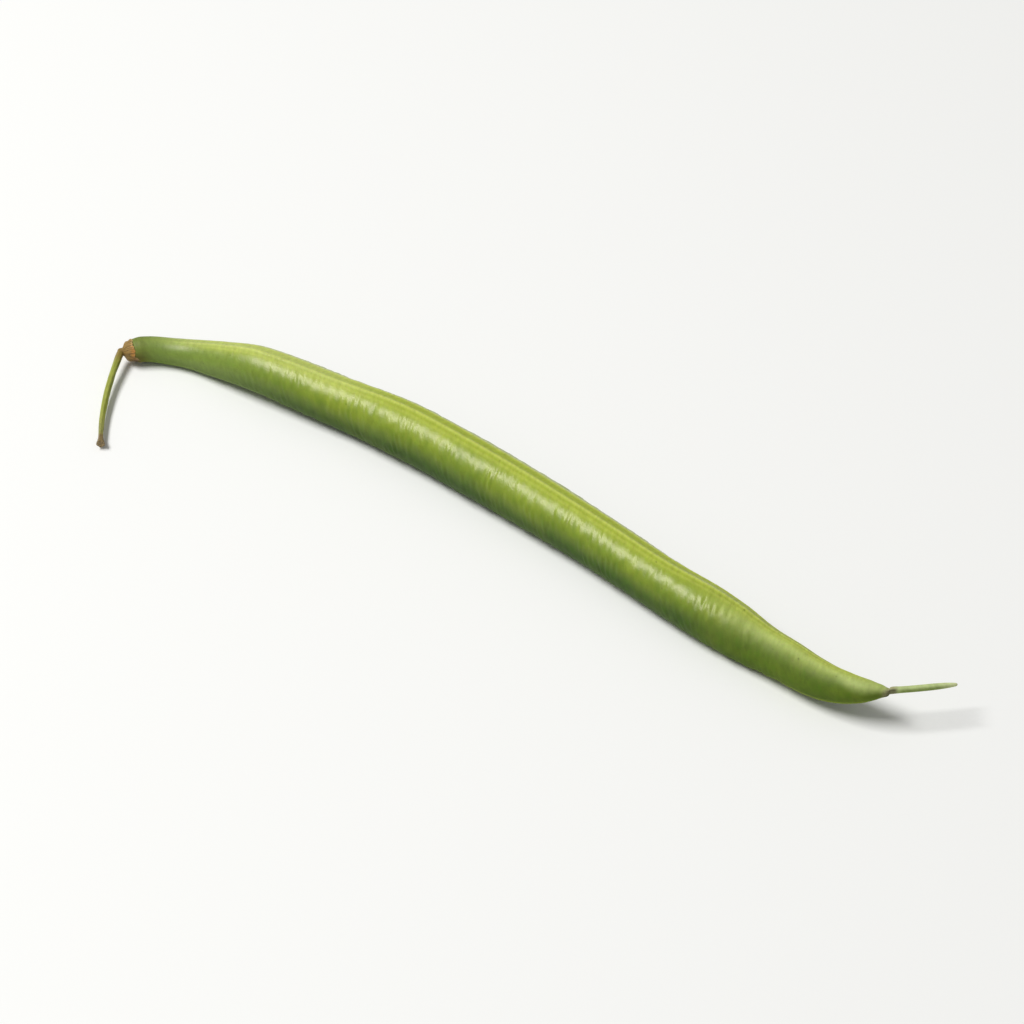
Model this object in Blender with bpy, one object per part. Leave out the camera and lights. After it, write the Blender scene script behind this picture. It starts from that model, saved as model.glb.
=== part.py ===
import math

import bmesh
import bpy
import numpy as np
from mathutils import Matrix, Vector

# Driving dimensions. Lengths are millimetres, angles degrees, and shares run from the stem end to the tip.
MM = 0.001
SEED = 11

POD_LENGTH = 130.0
BEAK_LENGTH = 11.6
HEADING = (  # share of the length, which way the middle line heads seen from above
    (0.000, 50.0),
    (0.018, 39.0),
    (0.045, 24.0),
    (0.100, 8.5),
    (0.180, 6.2),
    (0.280, 4.0),
    (0.380, -1.8),
    (0.480, -4.2),
    (0.580, -6.3),
    (0.680, -7.8),
    (0.780, -4.8),
    (0.880, -5.2),
    (0.950, -6.5),
    (1.000, 1.0),
    (1.020, 41.0),
    (1.090, 46.0),
)
GIRTH = (  # share of the length, mean diameter
    (0.000, 3.20),
    (0.004, 3.50),
    (0.010, 3.70),
    (0.018, 3.74),
    (0.052, 4.05),
    (0.107, 5.52),
    (0.159, 6.70),
    (0.266, 7.36),
    (0.373, 8.06),
    (0.481, 7.95),
    (0.588, 7.62),
    (0.700, 7.32),
    (0.770, 7.50),
    (0.815, 7.10),
    (0.860, 5.90),
    (0.910, 5.30),
    (0.953, 4.50),
    (0.975, 3.62),
    (0.990, 2.40),
    (1.000, 1.34),
    (1.008, 1.02),
    (1.015, 0.92),
    (1.021, 0.98),
    (1.030, 0.90),
    (1.060, 0.90),
    (1.076, 0.78),
    (1.084, 0.60),
    (1.089, 0.44),
)
FULL_FROM = 0.02  # shares between which the pod fills out and thins again
FULL_BY = 0.3
THINS_FROM = 0.9
DEEPER_THAN_WIDE = 1.06  # seam to seam against side to side, at full girth
SEAM_TURN = (  # share, the seam's angle above the near side
    (0.00, 98.0),
    (0.20, 101.0),
    (0.40, 105.0),
    (0.55, 105.0),
    (0.65, 107.0),
    (0.72, 111.0),
    (0.80, 120.0),
    (0.90, 131.0),
    (1.00, 136.0),
)
SEAM_RIDGE = 0.17
SEAM_GROOVE = 0.13
SEAM_RIDGE_ANGLE = 10.5
SEAM_RIDGE_SPREAD = 4.2
SEAM_GROOVE_SPREAD = 4.0
BACK_RIDGE = 0.12
BACK_RIDGE_SPREAD = 5.0
SEAM_STARTS = 3.0
SEAM_FADES_OVER = 7.0
SEAM_FULL_SIZE = 4.0  # radius from which the seam has its full relief

SEED_COUNT = 7
FIRST_SEED = 0.23
LAST_SEED = 0.885
SEED_SWELL = 0.20
SEED_LENGTH = 4.3
SEED_WANDER = 0.9
SEED_SIZES = (0.75, 1.2)
SWELL_TO_SEAM = 0.2  # how far a swelling leans to the seam's side
UNEVEN = 0.012
UNEVEN_WAVES = ((9.1, 0.6, 1.0), (5.3, 2.1, 0.7))  # length for one radian, start, size

UNDERSIDE = (  # along the pod, height of its underside over the floor
    (0.0, 0.50),
    (0.6, 0.31),
    (2.6, 0.16),
    (6.0, -0.10),
    (10.0, -0.08),
    (20.0, 0.42),
    (36.0, -0.10),
    (58.0, -0.12),
    (84.0, 0.16),
    (104.0, -0.12),
    (110.0, -0.10),
    (116.0, 0.20),
    (130.0, 0.20),
    (142.0, 0.20),
)
TIP_RISES_FROM = 108.0
TIP_RISE = 0.80
TIP_LEAN = (  # share of the length, how far the middle line shifts towards the seam
    (0.905, 0.00),
    (0.930, 0.25),
    (0.955, 0.99),
    (0.980, 2.22),
    (1.000, 3.45),
    (1.010, 3.80),
    (1.025, 3.95),
)

SIDE_ANGLES = 10
SEAM_ANGLES = (5.0, 10.0, 15.5, 22.0)
BACK_ANGLES = (6.0, 12.0, 19.0)
NECK_ROUNDING = 0.5
NECK_RINGS = (0.0, 0.05, 0.15, 0.3, 0.5, 0.9, 1.4, 2.0, 3.0, 4.0)
BODY_RINGS_FROM = 5.0
BEAK_ROUNDING = 0.3
LAST_RINGS = (0.4, 0.1, 0.0)  # shares of the beak's rounding
LINE_STEP = 0.05
HEADING_REACH = 0.3  # how far to each side a direction is read
TIP_RINGS_FROM = 0.80
BODY_RINGS = 74
TIP_RINGS = 16
BEAK_RINGS = 14

COLLAR_STEPS = 30
COLLAR_LOBES = ((5, 0.0, 0.07), (2, 1.0, 0.025))  # waves round the collar, their start, their share of its radius
COLLAR_PROFILE = (  # along the pod's axis, radius: the knob, its waist, the collar's back and its flat front
    (-2.22, 0.00),
    (-2.17, 0.32),
    (-1.98, 0.52),
    (-1.70, 0.59),
    (-1.46, 0.57),
    (-1.28, 0.72),
    (-1.10, 1.02),
    (-0.86, 1.30),
    (-0.58, 1.52),
    (-0.30, 1.64),
    (-0.30, 0.00),
)
COLLAR_FROM = -1.28
COLLAR_FRONT = -0.30
KNOB_AT = -1.72

STALK_LENGTH = 18.0
STALK_START = 1.02
STALK_HEADING = -67.0
STALK_TURN = 17.7
STALK_START_HEIGHT = 2.0
STALK_END_HEIGHT = 0.92
STALK_RADIUS = 0.45
STALK_POINTS = 29
STALK_GIRTH = (  # share of the stalk, share of its radius
    (0.00, 1.10),
    (0.12, 1.04),
    (0.30, 1.04),
    (0.55, 0.96),
    (0.80, 0.84),
    (0.91, 0.80),
    (0.95, 0.96),
    (0.98, 1.26),
    (1.00, 1.34),
)


def clear_scene():
    for obj in list(bpy.data.objects):
        bpy.data.objects.remove(obj, do_unlink=True)


def through(stations, where):
    # A cubic through the stations that keeps their slopes from overshooting.
    at, value = np.array(stations, float).T
    step = np.diff(at)
    rise = np.diff(value) / step
    slope = np.zeros(len(at))
    same_way = rise[:-1] * rise[1:] > 0
    both = rise[:-1] + rise[1:]
    slope[1:-1] = np.where(same_way, 2 * rise[:-1] * rise[1:] / np.where(same_way, both, 1.0), 0.0)
    where = np.clip(np.asarray(where, float), at[0], at[-1])
    i = np.clip(np.searchsorted(at, where, side="right") - 1, 0, len(step) - 1)
    s = (where - at[i]) / step[i]
    start = (1 + 2 * s) * (1 - s) ** 2 * value[i] + s * (1 - s) ** 2 * step[i] * slope[i]
    end = s**2 * (3 - 2 * s) * value[i + 1] + s**2 * (s - 1) * step[i] * slope[i + 1]
    return start + end


def eased(value, start, end):
    s = np.clip((value - start) / (end - start), 0, 1)
    return s * s * (3 - 2 * s)


def hump(offset, spread):
    return np.exp(-((offset / spread) ** 2))


def rows(vectors):
    return vectors / np.linalg.norm(vectors, axis=-1, keepdims=True)


def plan_line():
    # The pod's middle line seen from above, as along, x and y. The beak carries on from its end.
    along = np.arange(0.0, POD_LENGTH + BEAK_LENGTH + LINE_STEP / 2, LINE_STEP)
    heading = np.radians(through(HEADING, along / POD_LENGTH))
    step = np.diff(along, prepend=0)
    return along, np.cumsum(np.cos(heading) * step), np.cumsum(np.sin(heading) * step)


def section_angles():
    # Angles round the section from the seam, closer together at both seams.
    side = np.linspace(SEAM_ANGLES[-1], 180 - BACK_ANGLES[-1], SIDE_ANGLES + 1)[1:-1]
    half = [*SEAM_ANGLES, *side, *(180 - a for a in reversed(BACK_ANGLES))]
    return np.array([0.0, *half, 180.0, *(360 - a for a in reversed(half))])


def ring_places():
    body_end = POD_LENGTH * TIP_RINGS_FROM
    body = np.linspace(BODY_RINGS_FROM, body_end, BODY_RINGS, endpoint=False)
    tip = body_end + (POD_LENGTH - body_end) * np.sin(np.linspace(0, math.pi / 2, TIP_RINGS + 1))[:-1]
    beak_end = POD_LENGTH + BEAK_LENGTH
    beak = np.linspace(POD_LENGTH, beak_end - BEAK_ROUNDING, BEAK_RINGS)
    last = beak_end - BEAK_ROUNDING * np.array(LAST_RINGS)
    return np.concatenate([NECK_RINGS, body, tip, beak, last])


def seeds():
    # Where each seed swells the pod, and how much.
    rng = np.random.default_rng(SEED)
    at = np.linspace(FIRST_SEED, LAST_SEED, SEED_COUNT) * POD_LENGTH
    return at + rng.uniform(-SEED_WANDER, SEED_WANDER, SEED_COUNT), rng.uniform(*SEED_SIZES, SEED_COUNT)


def section_radius(along, angle):
    # Rows are places along the pod, columns are angles from the seam.
    share = along / POD_LENGTH
    mean = through(GIRTH, share) / 2
    full = eased(share, FULL_FROM, FULL_BY) * (1 - eased(share, THINS_FROM, 1.0))
    deep = mean * (1 + (DEEPER_THAN_WIDE - 1) / 2 * full)
    wide = mean * (1 - (DEEPER_THAN_WIDE - 1) / 2 * full)
    wobble = sum(size * np.sin(along / length + start) for length, start, size in UNEVEN_WAVES)
    wide = wide * (1 + UNEVEN * full * wobble)
    theta = np.radians(angle)[None, :]
    radius = 1 / np.hypot(np.cos(theta) / deep[:, None], np.sin(theta) / wide[:, None])

    # Swellings on both cheeks over each seed.
    at, size = seeds()
    swell = (size * hump(along[:, None] - at, SEED_LENGTH)).sum(axis=1)
    cheek = np.sin(theta) ** 2 * (1 - SWELL_TO_SEAM + SWELL_TO_SEAM * np.cos(theta))
    radius = radius + SEED_SWELL * (swell * full)[:, None] * cheek

    # Two fine ridges beside a groove at the seam, and one ridge at the back.
    ends_at = POD_LENGTH - SEAM_FADES_OVER
    fade = eased(along, SEAM_STARTS, SEAM_STARTS + SEAM_FADES_OVER)
    fade = fade * (1 - eased(along, ends_at, POD_LENGTH - 1)) * np.clip(mean / SEAM_FULL_SIZE, 0, 1)
    from_seam = (angle + 180) % 360 - 180
    ridges = hump(np.abs(from_seam) - SEAM_RIDGE_ANGLE, SEAM_RIDGE_SPREAD)
    groove = hump(from_seam, SEAM_GROOVE_SPREAD)
    back = hump(np.abs(from_seam) - 180, BACK_RIDGE_SPREAD)
    return radius + fade[:, None] * (SEAM_RIDGE * ridges - SEAM_GROOVE * groove + BACK_RIDGE * back)


def closing(along):
    # Rounds off both ends.
    from_end = POD_LENGTH + BEAK_LENGTH - along
    neck = np.sqrt(1 - (1 - np.clip(along / NECK_ROUNDING, 0, 1)) ** 2)
    return neck * np.sqrt(1 - (1 - np.clip(from_end / BEAK_ROUNDING, 0, 1)) ** 2)


def pod_surface():
    # Points of each ring round the pod, and the middle line with its directions.
    along = ring_places()
    angle = section_angles()
    line_at, line_x, line_y = plan_line()
    radius = section_radius(along, angle)
    turn = np.radians(through(SEAM_TURN, along / POD_LENGTH))[:, None] + np.radians(angle)[None, :]
    lowest = -(radius * np.sin(turn)).min(axis=1)
    reference = np.interp(TIP_RISES_FROM, along, lowest)
    rise = TIP_RISE * np.where(along > TIP_RISES_FROM, np.clip(reference - lowest, 0, None), 0)
    height = lowest + through(UNDERSIDE, along) + rise
    middle = np.stack([np.interp(along, line_at, line_x), np.interp(along, line_at, line_y), height], axis=1)
    before = np.maximum(along - HEADING_REACH, 0)
    after = np.minimum(along + HEADING_REACH, line_at[-1])
    ahead = np.stack(
        [
            np.interp(after, line_at, line_x) - np.interp(before, line_at, line_x),
            np.interp(after, line_at, line_y) - np.interp(before, line_at, line_y),
            np.zeros(len(along)),
        ],
        axis=1,
    )
    ahead = rows(ahead)
    up = np.array([0.0, 0.0, 1.0])
    near = np.cross(ahead, up)
    seam = np.cos(turn[:, :1]) * near + np.sin(turn[:, :1]) * up
    lean = through(TIP_LEAN, along / POD_LENGTH)
    middle = middle + lean[:, None] * seam
    outwards = np.cos(turn)[..., None] * near[:, None, :] + np.sin(turn)[..., None] * up
    radius = radius * closing(along)[:, None]
    points = middle[:, None, :] + radius[..., None] * outwards
    return along, points, middle, ahead


def add_object(name, mesh, collection, colour, roughness):
    material = bpy.data.materials.new(name)
    material.use_nodes = True
    shader = material.node_tree.nodes["Principled BSDF"]
    shader.inputs["Base Color"].default_value = (*colour, 1)
    shader.inputs["Roughness"].default_value = roughness
    mesh.materials.append(material)
    obj = bpy.data.objects.new(name, mesh)
    collection.objects.link(obj)
    return obj


def pod_mesh(shift):
    # A loft: every section has its own outline. Its underside is pressed flat where it meets the floor.
    _, points, middle, _ = pod_surface()
    rings, around = points.shape[:2]
    inner = points[1:-1].reshape(-1, 3)
    vertices = np.concatenate([inner, middle[:1], middle[-1:]])
    vertices[:, 2] = np.maximum(vertices[:, 2], 0)
    i, j = np.mgrid[0 : rings - 3, 0:around]
    k = (j + 1) % around
    quads = np.stack([i * around + j, i * around + k, (i + 1) * around + k, (i + 1) * around + j], axis=-1)
    first = np.arange(around)
    second = (first + 1) % around
    last_ring = (rings - 3) * around
    start = len(inner)
    faces = quads.reshape(-1, 4).tolist()
    faces += np.stack([second, first, np.full(around, start)], axis=1).tolist()
    faces += np.stack([last_ring + first, last_ring + second, np.full(around, start + 1)], axis=1).tolist()
    mesh = bpy.data.meshes.new("pod")
    mesh.from_pydata(((vertices + shift) * MM).tolist(), [], faces)
    tidy(mesh)
    return mesh


def tidy(mesh):
    work = bmesh.new()
    work.from_mesh(mesh)
    bmesh.ops.recalc_face_normals(work, faces=work.faces)
    work.to_mesh(mesh)
    work.free()
    mesh.shade_smooth()


def stem_frame():
    # The neck's end point and its directions: along the pod, to the side, and up.
    _, _, middle, ahead = pod_surface()
    forward = Vector(ahead[0])
    up = Vector((0, 0, 1))
    return Vector(middle[0]), forward, up.cross(forward), up


def calyx_mesh(shift):
    # A knob and a collar turned about the neck, the collar's edge drawn out into low lobes.
    work = bmesh.new()
    made = [work.verts.new((radius * MM, 0, along * MM)) for along, radius in COLLAR_PROFILE]
    edges = [work.edges.new(pair) for pair in zip(made, made[1:])]
    bmesh.ops.spin(
        work,
        geom=made + edges,
        axis=(0, 0, 1),
        cent=(0, 0, 0),
        steps=COLLAR_STEPS,
        angle=2 * math.pi,
        use_duplicate=False,
    )
    bmesh.ops.remove_doubles(work, verts=work.verts, dist=0.01 * MM)
    for vert in work.verts:
        pull = eased(vert.co.z / MM, COLLAR_FROM, COLLAR_FRONT)
        angle = math.atan2(vert.co.y, vert.co.x)
        lobes = sum(size * math.cos(count * angle + start) for count, start, size in COLLAR_LOBES)
        vert.co.xy *= 1 + pull * lobes
    bmesh.ops.recalc_face_normals(work, faces=work.faces)
    end, forward, side, up = stem_frame()
    place = Matrix((side, up, forward)).transposed().to_4x4()
    place.translation = (end + Vector(shift)) * MM
    work.transform(place)
    mesh = bpy.data.meshes.new("calyx")
    work.to_mesh(mesh)
    work.free()
    mesh.shade_smooth()
    return mesh


def stalk_line():
    end, forward, _, _ = stem_frame()
    knob = end + KNOB_AT * forward
    share = np.linspace(0, 1, STALK_POINTS)
    heading = np.radians(STALK_HEADING + STALK_TURN * share)
    step = STALK_LENGTH / (STALK_POINTS - 1)
    x = np.cumsum(np.cos(heading)) * step
    y = np.cumsum(np.sin(heading)) * step
    x += knob.x + STALK_START * math.cos(heading[0]) - x[0]
    y += knob.y + STALK_START * math.sin(heading[0]) - y[0]
    z = STALK_START_HEIGHT + (STALK_END_HEIGHT - STALK_START_HEIGHT) * np.sin(share * math.pi / 2)
    return share, np.stack([x, y, z], axis=1)


def stalk_curve(shift):
    share, line = stalk_line()
    curve = bpy.data.curves.new("stalk", "CURVE")
    curve.dimensions = "3D"
    curve.bevel_depth = STALK_RADIUS * MM
    curve.bevel_resolution = 2
    curve.resolution_u = 1
    curve.use_fill_caps = True
    spline = curve.splines.new("BEZIER")
    spline.bezier_points.add(len(line) - 1)
    for point, place, girth in zip(spline.bezier_points, line + shift, through(STALK_GIRTH, share)):
        point.co = Vector(place) * MM
        point.handle_left_type = "AUTO"
        point.handle_right_type = "AUTO"
        point.radius = girth
    return curve


def box_shift():
    # Brings the middle of the whole bean's footprint over the origin.
    _, points, _, _ = pod_surface()
    _, line = stalk_line()
    end_radius = STALK_RADIUS * STALK_GIRTH[-1][1]
    end, forward, _, _ = stem_frame()
    low_x = min(end.x + COLLAR_PROFILE[0][0] * forward.x, points[..., 0].min())
    low_y = line[-1, 1] - end_radius
    middle_x = (low_x + points[..., 0].max()) / 2
    middle_y = (low_y + points[..., 1].max()) / 2
    return np.array([-middle_x, -middle_y, 0.0])


def build():
    clear_scene()
    collection = bpy.data.collections.new("green_bean")
    bpy.context.scene.collection.children.link(collection)
    shift = box_shift()
    add_object("pod", pod_mesh(shift), collection, (0.19, 0.33, 0.045), 0.4)
    add_object("calyx", calyx_mesh(shift), collection, (0.30, 0.15, 0.05), 0.75)
    add_object("stalk", stalk_curve(shift), collection, (0.24, 0.30, 0.05), 0.6)


build()
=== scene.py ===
import math

import bpy
import numpy as np
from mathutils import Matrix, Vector


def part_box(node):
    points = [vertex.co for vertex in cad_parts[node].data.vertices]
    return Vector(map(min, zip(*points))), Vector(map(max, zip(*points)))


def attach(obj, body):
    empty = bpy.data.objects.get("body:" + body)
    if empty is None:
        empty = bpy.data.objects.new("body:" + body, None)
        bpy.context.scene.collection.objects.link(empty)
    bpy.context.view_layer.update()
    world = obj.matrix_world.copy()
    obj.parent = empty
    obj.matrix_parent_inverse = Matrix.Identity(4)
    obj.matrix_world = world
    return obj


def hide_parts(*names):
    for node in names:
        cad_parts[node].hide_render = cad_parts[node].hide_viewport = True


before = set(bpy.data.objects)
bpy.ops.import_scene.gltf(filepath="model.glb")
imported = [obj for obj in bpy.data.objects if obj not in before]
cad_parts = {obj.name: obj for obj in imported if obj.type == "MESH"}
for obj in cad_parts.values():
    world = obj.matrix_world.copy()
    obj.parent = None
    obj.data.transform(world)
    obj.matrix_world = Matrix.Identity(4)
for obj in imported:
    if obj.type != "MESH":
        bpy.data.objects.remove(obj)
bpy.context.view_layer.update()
mm = 0.001  # shapes are worked out in millimetres and put into the meshes in metres
up = np.array([0.0, 0.0, 1.0])


def toLinear(hexColour):
    # sRGB hex to linear red, green, blue, alpha
    channels = np.array([int(hexColour[i : i + 2], 16) / 255 for i in (1, 3, 5)])
    low = channels / 12.92
    high = ((channels + 0.055) / 1.055) ** 2.4
    return (*np.where(channels <= 0.04045, low, high).tolist(), 1.0)


def through(stations, where):
    # A cubic through the stations, its slopes the harmonic mean of the steps beside them. It is level at its
    # ends and where the steps turn back, so it never overshoots.
    at, value = np.array(stations, float).T
    step = np.diff(at)
    rise = np.diff(value) / step
    slope = np.zeros(len(at))
    sameWay = rise[:-1] * rise[1:] > 0
    both = rise[:-1] + rise[1:]
    slope[1:-1] = np.where(sameWay, 2 * rise[:-1] * rise[1:] / np.where(sameWay, both, 1.0), 0.0)
    where = np.clip(np.asarray(where, float), at[0], at[-1])
    i = np.clip(np.searchsorted(at, where, side="right") - 1, 0, len(step) - 1)
    s = (where - at[i]) / step[i]
    start = (1 + 2 * s) * (1 - s) ** 2 * value[i] + s * (1 - s) ** 2 * step[i] * slope[i]
    end = s**2 * (3 - 2 * s) * value[i + 1] + s**2 * (s - 1) * step[i] * slope[i + 1]
    return start + end


def eased(value, start, end):
    # 0 before start, 1 after end, and 3s^2 - 2s^3 between
    s = np.clip((value - start) / (end - start), 0, 1)
    return s * s * (3 - 2 * s)


def hump(offset, spread):
    # e to the minus (offset / spread) squared
    return np.exp(-((offset / spread) ** 2))


def roundRing(count):
    # Even angles once round, as one row
    return np.linspace(0, 2 * math.pi, count, endpoint=False)[None, :]


def degreesFrom(theta, angle):
    # How far theta is turned from the angle, from -180 to 180
    return (np.degrees(theta) - angle + 180) % 360 - 180


def unitRows(vectors):
    return vectors / np.linalg.norm(vectors, axis=-1, keepdims=True)


def waves(along, theta, count, lengths, turns, seed):
    # A sum of cosines, each with its own wavelength along the axis, its own whole number of turns round it
    # and its own start, scaled to a standard deviation of about 1
    rng = np.random.default_rng(seed)
    total = np.zeros(np.broadcast(along, theta).shape)
    for _ in range(count):
        wavelength = rng.uniform(*lengths)
        around = rng.integers(turns[0], turns[1] + 1)
        size = rng.uniform(0.6, 1.4)
        start = rng.uniform(0, 2 * math.pi)
        total += size * np.cos(2 * math.pi * along / wavelength + around * theta + start)
    return total / math.sqrt(count / 2)


def addPiece(name, points, facts, material, node):
    # A closed skin over a grid of points, rings by places round them. The end rings close on their middle.
    rings, around = points.shape[:2]
    ends = np.stack([points[0].mean(axis=0), points[-1].mean(axis=0)])
    vertices = np.concatenate([points.reshape(-1, 3), ends]) * mm
    i, j = np.mgrid[0 : rings - 1, 0:around]
    k = (j + 1) % around
    quads = np.stack([i * around + j, i * around + k, (i + 1) * around + k, (i + 1) * around + j], axis=-1)
    first = np.arange(around)
    second = (first + 1) % around
    lastRing = (rings - 1) * around
    startCap = np.stack([second, first, np.full(around, rings * around)], axis=1)
    endCap = np.stack([lastRing + first, lastRing + second, np.full(around, rings * around + 1)], axis=1)
    mesh = bpy.data.meshes.new(name)
    faces = quads.reshape(-1, 4).tolist() + startCap.tolist() + endCap.tolist()
    mesh.from_pydata(vertices.tolist(), [], faces)
    if signedVolume(vertices, quads.reshape(-1, 4)) < 0:
        mesh.flip_normals()
    mesh.shade_smooth()
    for label, values in facts.items():
        flat = values.reshape(rings * around, -1)
        capped = np.concatenate([flat, flat[:around].mean(axis=0)[None], flat[-around:].mean(axis=0)[None]])
        kind, field = ("FLOAT_VECTOR", "vector") if capped.shape[1] == 3 else ("FLOAT", "value")
        layer = mesh.attributes.new(label, kind, "POINT")
        layer.data.foreach_set(field, capped.astype(np.float32).ravel())
    mesh.materials.append(material)
    piece = bpy.data.objects.new(name, mesh)
    bpy.context.scene.collection.objects.link(piece)
    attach(piece, "root")
    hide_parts(node)
    print(name, len(vertices), "vertices", 2 * len(quads.reshape(-1, 4)) + 2 * around, "triangles")
    return piece


def signedVolume(vertices, quads):
    # Sum over the faces of corner . (diagonal x diagonal) / 6: positive where they face outwards
    a, b, c, d = (vertices[quads[:, n]] for n in range(4))
    return (a * np.cross(c - a, d - b)).sum() / 6


def addNode(tree, kind, settings, joins):
    # Settings are the node's own fields. Joins give each socket, by name or number, a value or an output.
    node = tree.nodes.new(kind)
    for field, value in settings.items():
        setattr(node, field, value)
    for socket, value in joins.items():
        if isinstance(value, bpy.types.NodeSocket):
            tree.links.new(value, node.inputs[socket])
        else:
            node.inputs[socket].default_value = value
    return node


def newMaterial(name):
    material = bpy.data.materials.new(name)
    material.use_nodes = True
    return material, material.node_tree, material.node_tree.nodes["Principled BSDF"]


# Pod: the whole green hull of the bean, with its neck, its seams, its swellings over the seeds and its beak.
podShape = {
    "length": 130.0,
    "beakLength": 11.6,
    "heading": (  # share of the length, which way the middle line heads from above, in degrees
        (0.000, 50.0),
        (0.018, 39.0),
        (0.045, 24.0),
        (0.100, 8.5),
        (0.180, 6.2),
        (0.280, 4.0),
        (0.380, -1.8),
        (0.480, -4.2),
        (0.580, -6.3),
        (0.680, -7.8),
        (0.780, -4.8),
        (0.880, -5.2),
        (0.950, -6.5),
        (1.000, 1.0),
        (1.020, 41.0),
        (1.090, 46.0),
    ),
    "girth": (  # share of the length, mean diameter
        (0.000, 3.20),
        (0.004, 3.50),
        (0.010, 3.70),
        (0.018, 3.74),
        (0.052, 4.05),
        (0.107, 5.52),
        (0.159, 6.70),
        (0.266, 7.36),
        (0.373, 8.06),
        (0.481, 7.95),
        (0.588, 7.62),
        (0.700, 7.32),
        (0.770, 7.50),
        (0.815, 7.10),
        (0.860, 5.90),
        (0.910, 5.30),
        (0.953, 4.50),
        (0.975, 3.62),
        (0.990, 2.40),
        (1.000, 1.34),
        (1.008, 1.02),
        (1.015, 0.92),
        (1.021, 0.98),
        (1.030, 0.90),
        (1.060, 0.90),
        (1.076, 0.78),
        (1.084, 0.60),
        (1.089, 0.44),
    ),
    "deeperThanWide": 1.06,
    "seamTurn": (  # share of the length, the seam's angle above the near side in degrees
        (0.00, 98.0),
        (0.20, 101.0),
        (0.40, 105.0),
        (0.55, 105.0),
        (0.65, 107.0),
        (0.72, 111.0),
        (0.80, 120.0),
        (0.90, 131.0),
        (1.00, 136.0),
    ),
    "seamRidge": 0.12,
    "seamRidgeSpread": 4.2,  # degrees round the pod
    "ridgeAngle": 10.5,  # from the seam to the ridge on either side of it
    "backRidge": 0.12,
    "backRidgeSpread": 5.0,
    "seeds": 7,
    "firstSeed": 0.23,  # share of the length
    "lastSeed": 0.885,
    "seedSwell": 0.20,
    "seedLength": 4.3,
    "seedWander": 0.9,  # how far a seed may lie from its even place
    "seedSizes": (0.75, 1.2),
    "seedDraw": 11,
    "uneven": 0.012,  # share of the width that comes and goes along the pod
    "underside": (  # along the pod, height of its underside over the floor
        (0.0, 0.50),
        (0.6, 0.31),
        (2.6, 0.16),
        (6.0, -0.10),
        (10.0, -0.08),
        (20.0, 0.42),
        (36.0, -0.10),
        (58.0, -0.12),
        (84.0, 0.16),
        (104.0, -0.12),
        (110.0, -0.10),
        (116.0, 0.20),
        (130.0, 0.20),
        (142.0, 0.20),
    ),
    "tipRisesFrom": 108.0,
    "tipRise": 0.80,
    "tipLean": (  # share of the length, how far the middle line shifts towards the seam
        (0.905, 0.00),
        (0.930, 0.25),
        (0.955, 0.99),
        (0.980, 2.22),
        (1.000, 3.45),
        (1.010, 3.80),
        (1.025, 3.95),
    ),
    "slant": 0.4,  # how far the creases lean along the pod as they go round from the seam
    "neckRounding": 0.15,
    "beakRounding": 0.3,
    "wrinkle": 0.026,  # height of the fine creases across the pod
    "wrinkles": {"count": 70, "lengths": (0.65, 1.4), "turns": (-8, 8), "seed": 21},
    "wrinklePatches": {"count": 14, "lengths": (6, 22), "turns": (-3, 3), "seed": 22},
    "pucker": 0.024,  # height of the broader unevenness between them
    "puckers": {"count": 50, "lengths": (1.6, 4.2), "turns": (-9, 9), "seed": 23},
    "tears": {"count": 12, "lengths": (2, 6), "turns": (2, 8), "seed": 51},
    "headingReach": 0.3,  # how far to each side a direction is read
    "lineStep": 0.05,
    "endRings": 8,
    "rings": 800,
    "around": 104,
    "seamColumns": 0.28,  # how much closer the columns of points stand at both seams
}


def podPlan(shape):
    # The middle line from above: x and y are the running sums of the heading's cosine and sine
    along = np.arange(0.0, shape["length"] + shape["beakLength"] + shape["lineStep"] / 2, shape["lineStep"])
    heading = np.radians(through(shape["heading"], along / shape["length"]))
    step = np.diff(along, prepend=0)
    return along, np.cumsum(np.cos(heading) * step), np.cumsum(np.sin(heading) * step)


def podRings(shape):
    # Even steps along the pod, and closer ones where both ends round off
    total = shape["length"] + shape["beakLength"]
    endSteps = 1 - np.cos(np.linspace(0, math.pi / 2, shape["endRings"]))
    neck = shape["neckRounding"] * endSteps
    end = total - shape["beakRounding"] * endSteps[::-1]
    middle = np.linspace(shape["neckRounding"], end[0], shape["rings"])
    return np.concatenate([neck[1:-1], middle, end[1:-1]])


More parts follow.
